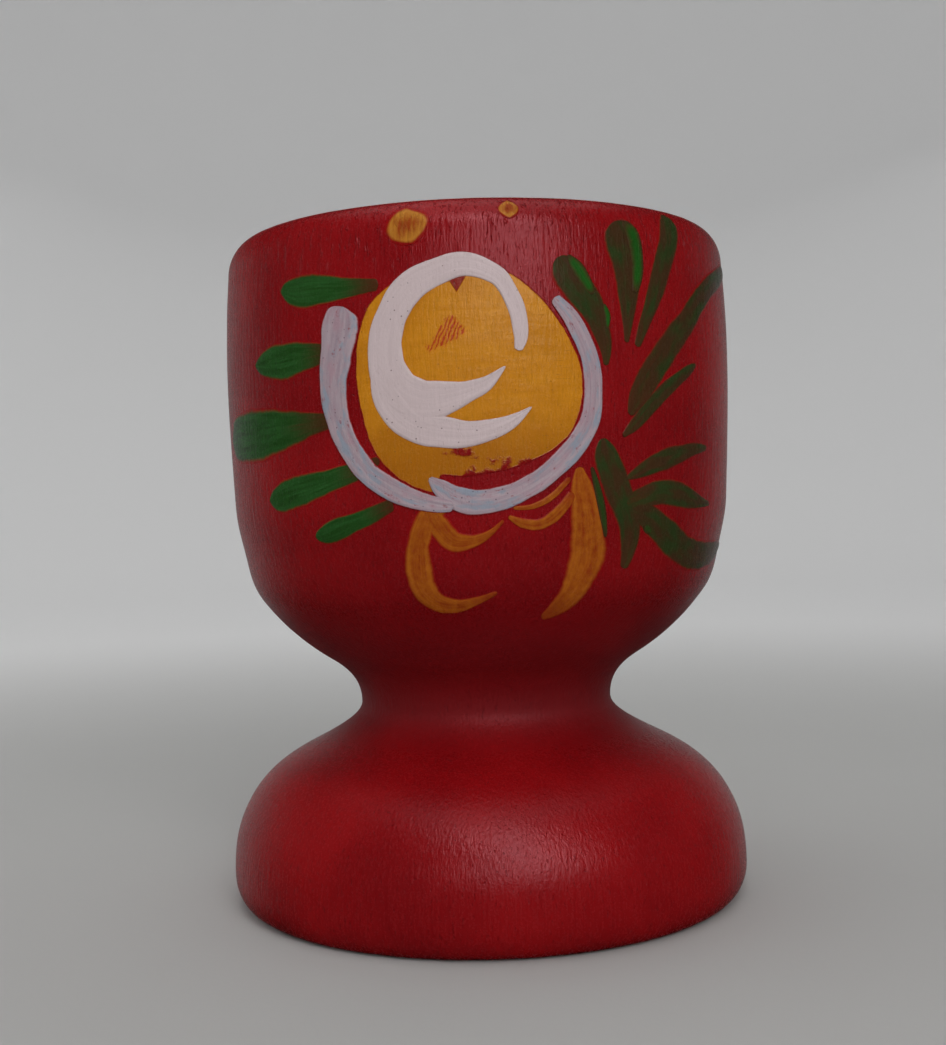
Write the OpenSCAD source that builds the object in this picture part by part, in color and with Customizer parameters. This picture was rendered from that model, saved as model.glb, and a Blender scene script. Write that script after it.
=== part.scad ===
// Turned wooden egg cup: one lathe-turned cup, a red ground coat and a brush-painted flower on
// the front and on the back. Millimetres, +Z up, origin at the centre of the foot, front at -Y.

/* [Cup] */
// Overall height
cup_h = 63.5; // [62:0.1:65]
// Widest diameter of the foot
foot_d = 50; // [48:0.5:52]
// Height of the foot's widest ring
foot_ring_h = 3.1; // [3:0.1:3.6]
// How far the foot's lower edge is rounded in
foot_edge_in = 2.1; // [1.6:0.1:2.6]
// Diameter of the waist
waist_d = 24.5; // [23:0.5:26]
// Height of the waist
waist_h = 18.9; // [18.5:0.1:19.5]
// Widest diameter of the bowl
bowl_d = 48.8; // [47:0.2:50]
// Height of the bowl's widest ring
bowl_ring_h = 51; // [49:0.5:53]
// Height of the rim's outer round
rim_rise = 3.3; // [3:0.1:3.8]

/* [Egg hollow] */
// Diameter of the mouth and of the straight wall below it
mouth_d = 41; // [40:0.5:42]
// Radius of the lip's inner round
lip_round = 1.1; // [0.9:0.1:1.5]
// Length of the straight wall
seat_wall_h = 12.8; // [10:0.2:14]
// Depth of the rounded bottom below the straight wall
hollow_round_h = 17; // [14:0.5:18]

/* [Paint layers] */
// Thickness of the red ground coat
coat_t = 0.15; // [0.1:0.01:0.3]
// Height of the leaves, scrolls and dots above the ground coat
leaf_t = 0.08; // [0.05:0.01:0.1]
// Height of the bright green second touches above the ground coat
accent_t = 0.14; // [0.12:0.01:0.18]
// Height of the ochre rose above the ground coat
disc_t = 0.12; // [0.11:0.01:0.15]
// Height of the white petals above the ground coat
petal_t = 0.22; // [0.2:0.01:0.3]
// Height of the white swirl above the ground coat
swirl_t = 0.26; // [0.23:0.01:0.35]

/* [Flowers] */
// Turn of the front flower about the cup's axis
front_turn = 0.5; // [-5:0.1:5]
// Turn of the back flower about the cup's axis
back_turn = 180.5; // [175:0.1:185]
// Size of both flowers beside the numbers in their stroke tables
flower_size = 0.985; // [0.95:0.005:1]
// Lift of both flowers
flower_lift = 0.15; // [-0.3:0.05:0.3]

/* [Hidden] */
SIDES = ["front", "back"];
LAYERS = ["rose_disc", "rose_swirl", "left_petal", "right_petal", "left_leaves", "upper_right_leaves",
    "lower_right_leaves", "leaf_accents", "gold_scrolls", "rim_dots"];
$fn = 96;

rim_h = cup_h - rim_rise;
rim_r = bowl_d / 2 - 0.35;
crest_r = mouth_d / 2 + lip_round;
lip_h = cup_h - lip_round;
seat_bottom_h = lip_h - seat_wall_h;
foot_flat_r = foot_d / 2 - foot_edge_in - 0.3;
round_step = 15;
wall_bands = 57;
stroke_steps = 3;
band_low_h = waist_h + 6.5;
band_high_h = cup_h - 0.2;
cutter_reach = 40;
sink = 0.05;
mm_per_degree = PI * bowl_d / 360;

red = [0.55, 0.03, 0.06];
ochre = [0.79, 0.55, 0.1];
white = [0.86, 0.84, 0.86];
green = [0.1, 0.28, 0.1];
dark_green = [0.22, 0.19, 0.1];
bright_green = [0.08, 0.4, 0.12];
gold = [0.75, 0.42, 0.08];
wood = [0.82, 0.65, 0.43];

// ---- The turned outline ----

// Height, radius and slope of the outline at each place where it bends
OUTLINE = [
    [foot_ring_h, foot_d / 2, 0],
    [9, foot_d / 2 - 1.15, -0.5],
    [14.6, (foot_d + waist_d) / 4 - 0.7, -2],
    [waist_h, waist_d / 2, 0],
    [waist_h + 4.4, waist_d / 2 + 2.85, 1.6],
    [waist_h + 10.1, bowl_d / 2 - 3, 0.77],
    [33, bowl_d / 2 - 1.4, 0.2],
    [38, bowl_d / 2 - 0.45, 0.05],
    [bowl_ring_h, bowl_d / 2, 0],
    [rim_h, rim_r, -0.08],
];

// Cubic through two rows of OUTLINE, with their slopes
function bend(a, b, z) =
    let (span = b[0] - a[0], t = (z - a[0]) / span)
    a[1] * (2 * t * t * t - 3 * t * t + 1) + a[2] * span * (t * t * t - 2 * t * t + t)
    + b[1] * (3 * t * t - 2 * t * t * t) + b[2] * span * (t * t * t - t * t);

function row_below(z) = max([for (i = [0:len(OUTLINE) - 2]) if (i == 0 || OUTLINE[i][0] <= z) i]);

function wall_radius(z) = let (i = row_below(z)) bend(OUTLINE[i], OUTLINE[i + 1], z);

// A quarter ellipse at the foot's edge, the bends, and a quarter ellipse at the rim
function radius_at(z) =
    z < foot_ring_h ? foot_d / 2 - foot_edge_in * (1 - sqrt(1 - pow(1 - z / foot_ring_h, 2)))
    : z > rim_h ? crest_r + (rim_r - crest_r) * sqrt(max(0, 1 - pow((z - rim_h) / rim_rise, 2)))
    : wall_radius(z);

LEVELS = concat(
    [for (a = [0:round_step:90 - round_step]) foot_ring_h * (1 - cos(a))],
    [for (i = [0:wall_bands]) foot_ring_h + (rim_h - foot_ring_h) * i / wall_bands],
    [for (a = [round_step:round_step:90]) rim_h + rim_rise * sin(a)]
);

// The painted skin from the foot's edge over the rim to the lip's inner edge
SKIN = concat(
    [for (z = LEVELS) [radius_at(z), z]],
    [for (a = [round_step:round_step:90]) [crest_r - lip_round * sin(a), lip_h + lip_round * cos(a)]]
);
LAST = len(SKIN) - 1;

// A point of the skin moved in by the coat's thickness, which is the wood's surface
function under_coat(i) =
    let (d = SKIN[min(i + 1, LAST)] - SKIN[max(i - 1, 0)])
    SKIN[i] + coat_t * [-d.y, d.x] / norm(d);

WOOD = [for (i = [1:LAST]) i == LAST ? [mouth_d / 2 + coat_t, lip_h] : under_coat(i)];

HOLLOW = [for (a = [0:7.5:90])
    [mouth_d / 2 * cos(a), seat_bottom_h - hollow_round_h * sin(a)]];

module turned_body() {
    color(wood)
        rotate_extrude()
            polygon(concat([[0, 0], [foot_flat_r, 0]], WOOD, [[mouth_d / 2, lip_h]], HOLLOW));
}

module ground_coat() {
    color(red)
        rotate_extrude()
            polygon(concat([for (i = [1:LAST]) SKIN[i]], [for (i = [len(WOOD) - 1:-1:0]) WOOD[i]]));
}

// ---- Brush strokes ----
// Each stroke is a list of [degrees round the wall, height, half width], degrees growing to the right.

ROSE = [
    [-20.8, 56], [-23.3, 54.6], [-25, 52.3], [-25.5, 49.8], [-25.1, 47.4], [-24, 45.2], [-22.4, 43.2],
    [-20, 41.7], [-16.5, 40.4], [-12.5, 39.6], [-9.6, 39.4], [-8.5, 40.7], [-4, 40.6], [0, 40.8],
    [5, 41.1], [10, 41.8], [14.5, 42.7], [18.2, 44.1], [20.3, 46], [21, 48], [20.4, 50], [18.2, 52.1],
    [15, 54.2], [11.5, 55.9], [7, 57.4], [2, 58.2], [-4, 58.4], [-12, 57.7], [-17.5, 57],
];

SWIRL = [
    [[7.6, 51, 0.35], [8.2, 52.4, 0.65], [7.6, 54.4, 0.75], [5.5, 56.4, 0.75], [3, 57.5, 0.85],
        [-2.5, 58.3, 1.05], [-8.3, 57.7, 1.2], [-13.6, 56.5, 1.4], [-17.2, 54.4, 1.45],
        [-18.8, 52, 1.55], [-18.4, 49.8, 1.7], [-15.6, 47.9, 1.8], [-11, 47.1, 1.75],
        [-6, 47.3, 1.35], [-2, 47.75, 0.9], [1.5, 48.4, 0.6], [5, 49.7, 0.08]],
    [[-20, 50, 0.9], [-19, 47.9, 1.25], [-16.6, 46.1, 1.4], [-12.8, 44.9, 1.35], [-8, 44.4, 1.35],
        [-3, 44.2, 1.15], [2, 44.5, 0.9], [6, 45.1, 0.6], [10, 46.3, 0.08]],
];

LEFT_PETAL = [
    [[-27.9, 55.4, 1], [-28.4, 54.7, 1.7], [-29, 53.2, 1.85], [-30, 51.2, 1.65], [-30.8, 49.2, 1.5],
        [-30.6, 47.2, 1.35], [-29.5, 45.2, 1.25], [-27.4, 43.3, 1.15], [-23.9, 41.3, 1.05],
        [-19.6, 40, 1], [-14.6, 39, 0.9], [-9.5, 38.4, 0.7], [-6, 38.2, 0.5]],
];

RIGHT_PETAL = [
    [[-10.6, 40.6, 0.2], [-8.6, 39.8, 0.75], [-5.5, 38.9, 1.05], [-1.5, 38.5, 1.1], [3, 38.7, 1.05],
        [8, 39.4, 0.95], [12.5, 40.5, 0.95], [16.5, 41.9, 1], [20, 43.5, 1], [22.4, 45.5, 0.95],
        [23.1, 47.8, 0.9], [22.6, 50, 0.9], [20.8, 52, 0.85], [18.5, 53.8, 0.8], [15.8, 55.1, 0.55],
        [15.2, 55.4, 0.4]],
];

LEFT_LEAVES = [
    [[-45, 57.5, 0.15], [-43.4, 57.5, 0.85], [-40.4, 57.25, 1.35], [-37, 57.15, 1.5], [-33, 57.1, 1.3],
        [-28, 57, 0.95], [-24, 57, 0.7], [-20, 57, 0.5]],
    [[-55, 51.4, 0.15], [-53, 51.4, 0.85], [-50, 51.4, 1.35], [-46, 51.35, 1.65], [-42, 51.45, 1.55],
        [-38, 51.5, 1.3], [-34, 51.6, 1], [-31, 51.7, 0.8]],
    [[-73.5, 45, 0.4], [-71.5, 45, 1.5], [-68, 45.05, 2.1], [-63, 45.1, 2.35], [-56, 45.15, 2.4],
        [-50, 45.2, 2.15], [-44, 45.4, 1.7], [-38, 45.6, 1.15], [-33, 45.8, 0.75], [-30, 45.9, 0.6]],
    [[-52.2, 39.2, 0.15], [-50.6, 39.25, 0.85], [-48, 39.35, 1.3], [-44.5, 39.7, 1.4], [-40, 40.05, 1.35],
        [-36, 40.4, 1.15], [-31, 40.9, 0.95], [-26, 41.4, 0.75], [-21, 42.3, 0.3]],
    [[-38.2, 35.9, 0.15], [-37, 35.95, 0.55], [-34.5, 36.15, 0.9], [-31.5, 36.55, 0.95],
        [-27.5, 37.05, 0.8], [-23, 37.7, 0.7], [-18.5, 38.5, 0.5]],
];

UPPER_RIGHT_LEAVES = [
    [[16.2, 58.8, 0.5], [17.8, 57.9, 1.35], [20.2, 56.4, 1.5], [23, 54.9, 1.3], [25, 53, 1],
        [26.1, 51.2, 0.6], [26.1, 49.8, 0.2]],
    [[29.9, 62.2, 1.2], [30.8, 61.2, 1.9], [31.8, 59.5, 1.8], [32.2, 57.6, 1.5], [32, 55.6, 1.1],
        [31.6, 53.5, 0.55], [31.2, 51.8, 0.2]],
    [[47.5, 63.3, 0.9], [45.8, 62.2, 1.25], [44.4, 60.6, 1.3], [42.2, 58.8, 1.2], [40.2, 57, 1.05],
        [37.8, 55, 0.8], [35.4, 53, 0.55], [33.8, 51.5, 0.3]],
    [[82, 60.2, 0.3], [76, 59.9, 0.7], [69, 59, 0.95], [62, 57.9, 1], [55, 56.1, 1.15], [49, 53.9, 1.3],
        [43, 51.7, 1.4], [37.5, 49.2, 1.35], [34, 47.3, 1.1], [31.8, 45.6, 0.3]],
    [[52.5, 50.3, 0.15], [49.5, 49.7, 0.5], [45, 48.7, 0.65], [40.5, 47.5, 0.75], [36.5, 46.1, 0.7],
        [33, 44.8, 0.55], [30, 43.8, 0.15]],
];

LOWER_RIGHT_LEAVES = [
    [[25.1, 43.6, 0.3], [25.8, 42.4, 1.15], [27.3, 40.8, 1.4], [29.2, 39, 1.45], [31.4, 37.3, 1.4],
        [32.6, 35.5, 1.25], [32.6, 34, 0.9], [31.8, 32.4, 0.4]],
    [[57.5, 42.9, 0.2], [53, 42.8, 0.5], [49, 42.5, 0.7], [43.5, 42, 0.95], [38.5, 41.4, 0.85],
        [34, 40.7, 0.55], [31, 40.2, 0.15]],
    [[60, 37.8, 0.15], [55, 38, 0.55], [50, 38.4, 1], [45, 38.8, 1.2], [40, 38.9, 1.15],
        [35.5, 38.5, 1], [31, 38, 0.8]],
    [[33, 37.5, 0.8], [37, 36.8, 1.2], [41, 35.8, 1.4], [46, 34.6, 1.5], [51, 33.7, 1.45],
        [57, 33.2, 1.4], [64, 33.1, 1.25], [71, 33.3, 0.95], [77, 33.6, 0.5], [81, 33.8, 0.15]],
];

ACCENTS = [
    [[18.4, 59, 0.15], [20, 58.2, 0.55], [21.9, 57, 0.6], [23.7, 55.8, 0.3]],
    [[26, 55, 0.1], [26.7, 54, 0.3], [26.6, 52.9, 0.1]],
    [[31.9, 62.2, 0.3], [34, 61.2, 0.75], [34.8, 59.6, 0.75], [34.6, 57.8, 0.65], [33.7, 56.1, 0.3]],
    [[36, 36, 0.2], [37.2, 35.8, 0.4], [38.4, 35.4, 0.2]],
    [[22.6, 41.2, 0.12], [24, 39.2, 0.35], [25.2, 37.2, 0.35], [26.3, 35.2, 0.12]],
];

SCROLLS = [
    [[-8, 38.6, 0.8], [-11.5, 37.2, 0.95], [-13.6, 35.2, 1.05], [-14.2, 33.2, 1.3], [-13.5, 31.4, 1.3],
        [-11, 30.1, 0.95], [-6.5, 29.7, 0.6], [-2, 30.1, 0.35], [2.5, 30.8, 0.12]],
    [[-11, 38.4, 0.6], [-9.6, 36.8, 0.95], [-6.5, 35.3, 0.95], [-2.5, 35.2, 0.55], [1, 35.8, 0.25],
        [4, 36.9, 0.08]],
    [[19.8, 41.2, 0.3], [20.3, 39.5, 1.05], [21.3, 37.5, 1.5], [22.1, 35.5, 1.8], [22.2, 33.5, 1.9],
        [20.8, 31.7, 1.65], [18.5, 30, 1.2], [15.6, 29, 0.7], [13.3, 28.4, 0.25]],
    [[5, 37.2, 0.12], [8, 36.6, 0.4], [11.5, 36.5, 0.45], [15, 37.3, 0.5], [18.5, 39, 0.4]],
    [[6, 37.9, 0.1], [10, 38, 0.2], [14, 38.8, 0.25], [17.8, 40.3, 0.2]],
];

DOTS = [
    [[-14.3, 63.5, 0.6], [-14.3, 62.9, 1.5], [-13.9, 61.9, 1.9], [-13.2, 60.9, 1.5], [-12.6, 60.2, 0.5]],
    [[6.8, 63.8, 0.3], [6.8, 63.3, 0.8], [6.8, 62.7, 0.8], [6.8, 62.1, 0.35]],
];

// A smooth curve from b to c that also heeds their neighbours a and d
function between(a, b, c, d, t) =
    (2 * b + (c - a) * t + (2 * a - 5 * b + 4 * c - d) * t * t + (3 * b - a - 3 * c + d) * t * t * t) / 2;

function smooth(rows) =
    let (last = len(rows) - 1)
    concat(
        [for (i = [0:last - 1], k = [0:stroke_steps - 1])
            between(rows[max(i - 1, 0)], rows[i], rows[i + 1], rows[min(i + 2, last)], k / stroke_steps)],
        [rows[last]]
    );

function smooth_loop(rows) =
    let (n = len(rows))
    [for (i = [0:n - 1], k = [0:1])
        between(rows[(i + n - 1) % n], rows[i], rows[(i + 1) % n], rows[(i + 2) % n], k / 2)];

function unrolled(row) = [row[0] * mm_per_degree, row[1]];

// One edge of a stroke: its middle line moved sideways by its half width
function edge(path, i, side) =
    let (d = unrolled(path[min(i + 1, len(path) - 1)]) - unrolled(path[max(i - 1, 0)]))
    unrolled(path[i]) + side * max(path[i][2], 0.05) * [-d.y, d.x] / norm(d);

function stroke(rows) =
    let (path = smooth(rows), last = len(path) - 1)
    concat([for (i = [0:last]) edge(path, i, 1)], [for (i = [last:-1:0]) edge(path, i, -1)]);

// Where an unrolled point lies when the wall is seen square on from a direction
function seen_from(direction, p) =
    let (z = flower_size * p.y + flower_lift, turn = flower_size * p.x / mm_per_degree)
    [radius_at(z) * sin(turn - direction), z];

// A straight cutter through the wall, with the outlines of some unrolled shapes
module cutter(shapes, direction) {
    rotate([0, 0, direction])
        rotate([90, 0, 0])
            linear_extrude(height = cutter_reach)
                for (s = shapes)
                    polygon([for (p = s) seen_from(direction, p)]);
}

// The paint's room outside the ground coat, from one height above it to another
module skin_band(low, high) {
    band = [for (i = [0:len(LEVELS) - 1]) if (SKIN[i].y > band_low_h && SKIN[i].y < band_high_h) SKIN[i]];
    rotate_extrude()
        polygon(concat(
            [for (p = band) p + [low, 0]],
            [for (i = [len(band) - 1:-1:0]) band[i] + [high, 0]]
        ));
}

module film(shapes, direction, low, high) {
    intersection() {
        skin_band(low, high);
        cutter(shapes, direction);
    }
}

module strokes_film(rows, direction, low, high) {
    film([for (r = rows) stroke(r)], direction, low, high);
}

module rose_film(low, high) {
    film([[for (p = smooth_loop(ROSE)) unrolled(p)]], -2, low, high);
}

module leaf_films(low, high) {
    strokes_film(LEFT_LEAVES, -48, low, high);
    strokes_film(UPPER_RIGHT_LEAVES, 48, low, high);
    strokes_film(LOWER_RIGHT_LEAVES, 52, low, high);
}

module left_leaves() {
    color(green) strokes_film(LEFT_LEAVES, -48, 0, leaf_t);
}

module upper_right_leaves() {
    color(dark_green) strokes_film(UPPER_RIGHT_LEAVES, 48, 0, leaf_t);
}

module lower_right_leaves() {
    color(dark_green)
        difference() {
            strokes_film(LOWER_RIGHT_LEAVES, 52, 0, leaf_t);
            strokes_film(SCROLLS, 4, -sink, leaf_t + sink);
        }
}

module gold_scrolls() {
    color(gold) strokes_film(SCROLLS, 4, 0, leaf_t);
}

module rim_dots() {
    color(gold) strokes_film(DOTS, -5, 0, leaf_t);
}

module leaf_accents() {
    color(bright_green)
        difference() {
            strokes_film(ACCENTS, 28, 0, accent_t);
            leaf_films(-sink, leaf_t);
            strokes_film(SCROLLS, 4, -sink, leaf_t);
        }
}

module rose_disc() {
    color(ochre)
        difference() {
            rose_film(0, disc_t);
            strokes_film(LEFT_LEAVES, -48, -sink, leaf_t);
        }
}

module left_petal() {
    color(white)
        difference() {
            strokes_film(LEFT_PETAL, -18, 0, petal_t);
            rose_film(-sink, disc_t);
            strokes_film(LEFT_LEAVES, -48, -sink, leaf_t);
            strokes_film(SCROLLS, 4, -sink, leaf_t);
        }
}

module right_petal() {
    color(white)
        difference() {
            strokes_film(RIGHT_PETAL, 8, 0, petal_t);
            strokes_film(LEFT_PETAL, -18, -sink, petal_t + sink);
            rose_film(-sink, disc_t);
            strokes_film(UPPER_RIGHT_LEAVES, 48, -sink, leaf_t);
            strokes_film(LOWER_RIGHT_LEAVES, 52, -sink, leaf_t);
            strokes_film(SCROLLS, 4, -sink, leaf_t);
        }
}

module rose_swirl() {
    color(white)
        difference() {
            strokes_film(SWIRL, -6, 0, swirl_t);
            rose_film(-sink, disc_t);
        }
}

module flower_layer(name) {
    if (name == "rose_disc") rose_disc();
    if (name == "rose_swirl") rose_swirl();
    if (name == "left_petal") left_petal();
    if (name == "right_petal") right_petal();
    if (name == "left_leaves") left_leaves();
    if (name == "upper_right_leaves") upper_right_leaves();
    if (name == "lower_right_leaves") lower_right_leaves();
    if (name == "leaf_accents") leaf_accents();
    if (name == "gold_scrolls") gold_scrolls();
    if (name == "rim_dots") rim_dots();
}

turned_body();
ground_coat();
for (l = LAYERS) {
    rotate([0, 0, front_turn]) flower_layer(l);
    rotate([0, 0, back_turn]) flower_layer(l);
}
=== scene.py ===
"""A turned wooden egg cup with a flower brushed on its front and on its back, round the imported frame.

Lengths in the tables are millimetres and angles are degrees, as in the part's own design; the mesh
builders turn them into metres. The front faces -Y, and degrees round the wall grow to the right.
"""
import math

import bpy
import numpy as np
from mathutils import Matrix, Quaternion, Vector, noise


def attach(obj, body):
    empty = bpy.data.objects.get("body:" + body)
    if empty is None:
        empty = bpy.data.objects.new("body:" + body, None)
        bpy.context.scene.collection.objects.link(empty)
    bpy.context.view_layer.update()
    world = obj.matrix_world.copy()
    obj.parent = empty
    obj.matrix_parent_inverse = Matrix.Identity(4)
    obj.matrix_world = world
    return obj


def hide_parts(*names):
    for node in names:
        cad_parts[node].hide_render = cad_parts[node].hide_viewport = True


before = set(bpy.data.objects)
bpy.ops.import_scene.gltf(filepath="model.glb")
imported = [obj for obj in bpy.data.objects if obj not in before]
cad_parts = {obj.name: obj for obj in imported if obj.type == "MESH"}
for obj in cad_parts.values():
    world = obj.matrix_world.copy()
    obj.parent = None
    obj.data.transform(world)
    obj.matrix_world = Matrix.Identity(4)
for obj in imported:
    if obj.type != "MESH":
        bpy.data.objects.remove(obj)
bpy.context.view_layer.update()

MM = 0.001

# ---- Driving dimensions, as in part.scad ----

cup_h = 63.5
foot_d = 50
foot_ring_h = 3.1
foot_edge_in = 2.1
waist_d = 24.5
waist_h = 18.9
bowl_d = 48.8
bowl_ring_h = 51
rim_rise = 3.3
mouth_d = 41
lip_round = 1.1
seat_wall_h = 12.8
hollow_round_h = 17
coat_t = 0.15
leaf_t = 0.08
accent_t = 0.14
disc_t = 0.12
petal_t = 0.22
swirl_t = 0.26
front_turn = 0.5
back_turn = 180.5
flower_size = 0.985
flower_lift = 0.15

# Only in the visual model: how far the brushed ground waves, slowly and from bristle to bristle
slow_wave = 0.025
bristle_wave = 0.01
# A paint film's height at its very edge, and how far its underside sinks into the ground coat
film_edge = 0.012
film_sink = 0.05
# How far down the mouth the ground coat reaches, and how much of that comes and goes
coat_reach = 0.75
coat_ragged = 0.4
# The shallow recess under the foot, and the tool marks there and in the hollow
recess_depth = 0.5
tool_mark = 0.012
foot_mark_step = 0.9
hollow_mark_step = 1.1

# How finely each stretch of the outline is cut, and how many points go round
foot_steps = 14
wall_steps = 150
rim_steps = 18
lip_steps = 12
underside_steps = 90
seat_steps = 60
hollow_steps = 130
wood_sides = 192
coat_sides = 240

# The same for the films: steps between two rows of a table, and points across or out from the middle
stroke_steps = 10
stroke_columns = 19
disc_steps = 6
disc_rings = 30

# How far apart the noise of two strokes, and of two layers, is read
stroke_seed_step = 1.7
layer_seed_step = 11.3

rim_h = cup_h - rim_rise
rim_r = bowl_d / 2 - 0.35
crest_r = mouth_d / 2 + lip_round
lip_h = cup_h - lip_round
seat_bottom_h = lip_h - seat_wall_h
foot_flat_r = foot_d / 2 - foot_edge_in - 0.3
mm_per_degree = math.pi * bowl_d / 360

# Height, radius and slope of the painted outline at each place where it bends
OUTLINE = np.array([
    [foot_ring_h, foot_d / 2, 0],
    [9, foot_d / 2 - 1.15, -0.5],
    [14.6, (foot_d + waist_d) / 4 - 0.7, -2],
    [waist_h, waist_d / 2, 0],
    [waist_h + 4.4, waist_d / 2 + 2.85, 1.6],
    [waist_h + 10.1, bowl_d / 2 - 3, 0.77],
    [33, bowl_d / 2 - 1.4, 0.2],
    [38, bowl_d / 2 - 0.45, 0.05],
    [bowl_ring_h, bowl_d / 2, 0],
    [rim_h, rim_r, -0.08],
])

# ---- Brush strokes: rows of [degrees round the wall, height, half width], as in part.scad ----

# The ochre disc's outline, without widths, and the middle that its rings grow from
ROSE = [
    [-20.8, 56], [-23.3, 54.6], [-25, 52.3], [-25.5, 49.8], [-25.1, 47.4], [-24, 45.2], [-22.4, 43.2],
    [-20, 41.7], [-16.5, 40.4], [-12.5, 39.6], [-9.6, 39.4], [-8.5, 40.7], [-4, 40.6], [0, 40.8],
    [5, 41.1], [10, 41.8], [14.5, 42.7], [18.2, 44.1], [20.3, 46], [21, 48], [20.4, 50], [18.2, 52.1],
    [15, 54.2], [11.5, 55.9], [7, 57.4], [2, 58.2], [-4, 58.4], [-12, 57.7], [-17.5, 57],
]
ROSE_MIDDLE = [-2.5, 49]
# Arc and height, both in millimetres, of the notch's tip and of the scratched hatch
ROSE_NOTCH = (-1.75, 55.9)
ROSE_HATCH = (-2.9, 52.3)

SWIRL = [
    [[7.6, 51, 0.35], [8.2, 52.4, 0.65], [7.6, 54.4, 0.75], [5.5, 56.4, 0.75], [3, 57.5, 0.85],
     [-2.5, 58.3, 1.05], [-8.3, 57.7, 1.2], [-13.6, 56.5, 1.4], [-17.2, 54.4, 1.45],
     [-18.8, 52, 1.55], [-18.4, 49.8, 1.7], [-15.6, 47.9, 1.8], [-11, 47.1, 1.75],
     [-6, 47.3, 1.35], [-2, 47.75, 0.9], [1.5, 48.4, 0.6], [5, 49.7, 0.08]],
    [[-20, 50, 0.9], [-19, 47.9, 1.25], [-16.6, 46.1, 1.4], [-12.8, 44.9, 1.35], [-8, 44.4, 1.35],
     [-3, 44.2, 1.15], [2, 44.5, 0.9], [6, 45.1, 0.6], [10, 46.3, 0.08]],
]

LEFT_PETAL = [
    [[-27.9, 55.4, 1], [-28.4, 54.7, 1.7], [-29, 53.2, 1.85], [-30, 51.2, 1.65], [-30.8, 49.2, 1.5],
     [-30.6, 47.2, 1.35], [-29.5, 45.2, 1.25], [-27.4, 43.3, 1.15], [-23.9, 41.3, 1.05],
     [-19.6, 40, 1], [-14.6, 39, 0.9], [-9.5, 38.4, 0.7], [-6, 38.2, 0.5]],
]

RIGHT_PETAL = [
    [[-10.6, 40.6, 0.2], [-8.6, 39.8, 0.75], [-5.5, 38.9, 1.05], [-1.5, 38.5, 1.1], [3, 38.7, 1.05],
     [8, 39.4, 0.95], [12.5, 40.5, 0.95], [16.5, 41.9, 1], [20, 43.5, 1], [22.4, 45.5, 0.95],
     [23.1, 47.8, 0.9], [22.6, 50, 0.9], [20.8, 52, 0.85], [18.5, 53.8, 0.8], [15.8, 55.1, 0.55],
     [15.2, 55.4, 0.4]],
]

LEFT_LEAVES = [
    [[-45, 57.5, 0.15], [-43.4, 57.5, 0.85], [-40.4, 57.25, 1.35], [-37, 57.15, 1.5], [-33, 57.1, 1.3],
     [-28, 57, 0.95], [-24, 57, 0.7], [-20, 57, 0.5]],
    [[-55, 51.4, 0.15], [-53, 51.4, 0.85], [-50, 51.4, 1.35], [-46, 51.35, 1.65], [-42, 51.45, 1.55],
     [-38, 51.5, 1.3], [-34, 51.6, 1], [-31, 51.7, 0.8]],
    [[-73.5, 45, 0.4], [-71.5, 45, 1.5], [-68, 45.05, 2.1], [-63, 45.1, 2.35], [-56, 45.15, 2.4],
     [-50, 45.2, 2.15], [-44, 45.4, 1.7], [-38, 45.6, 1.15], [-33, 45.8, 0.75], [-30, 45.9, 0.6]],
    [[-52.2, 39.2, 0.15], [-50.6, 39.25, 0.85], [-48, 39.35, 1.3], [-44.5, 39.7, 1.4],
     [-40, 40.05, 1.35], [-36, 40.4, 1.15], [-31, 40.9, 0.95], [-26, 41.4, 0.75], [-21, 42.3, 0.3]],
    [[-38.2, 35.9, 0.15], [-37, 35.95, 0.55], [-34.5, 36.15, 0.9], [-31.5, 36.55, 0.95],
     [-27.5, 37.05, 0.8], [-23, 37.7, 0.7], [-18.5, 38.5, 0.5]],
]

UPPER_RIGHT_LEAVES = [
    [[16.2, 58.8, 0.5], [17.8, 57.9, 1.35], [20.2, 56.4, 1.5], [23, 54.9, 1.3], [25, 53, 1],
     [26.1, 51.2, 0.6], [26.1, 49.8, 0.2]],
    [[29.9, 62.2, 1.2], [30.8, 61.2, 1.9], [31.8, 59.5, 1.8], [32.2, 57.6, 1.5], [32, 55.6, 1.1],
     [31.6, 53.5, 0.55], [31.2, 51.8, 0.2]],
    [[47.5, 63.3, 0.9], [45.8, 62.2, 1.25], [44.4, 60.6, 1.3], [42.2, 58.8, 1.2], [40.2, 57, 1.05],
     [37.8, 55, 0.8], [35.4, 53, 0.55], [33.8, 51.5, 0.3]],
    [[82, 60.2, 0.3], [76, 59.9, 0.7], [69, 59, 0.95], [62, 57.9, 1], [55, 56.1, 1.15], [49, 53.9, 1.3],
     [43, 51.7, 1.4], [37.5, 49.2, 1.35], [34, 47.3, 1.1], [31.8, 45.6, 0.3]],
    [[52.5, 50.3, 0.15], [49.5, 49.7, 0.5], [45, 48.7, 0.65], [40.5, 47.5, 0.75], [36.5, 46.1, 0.7],
     [33, 44.8, 0.55], [30, 43.8, 0.15]],
]

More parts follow.
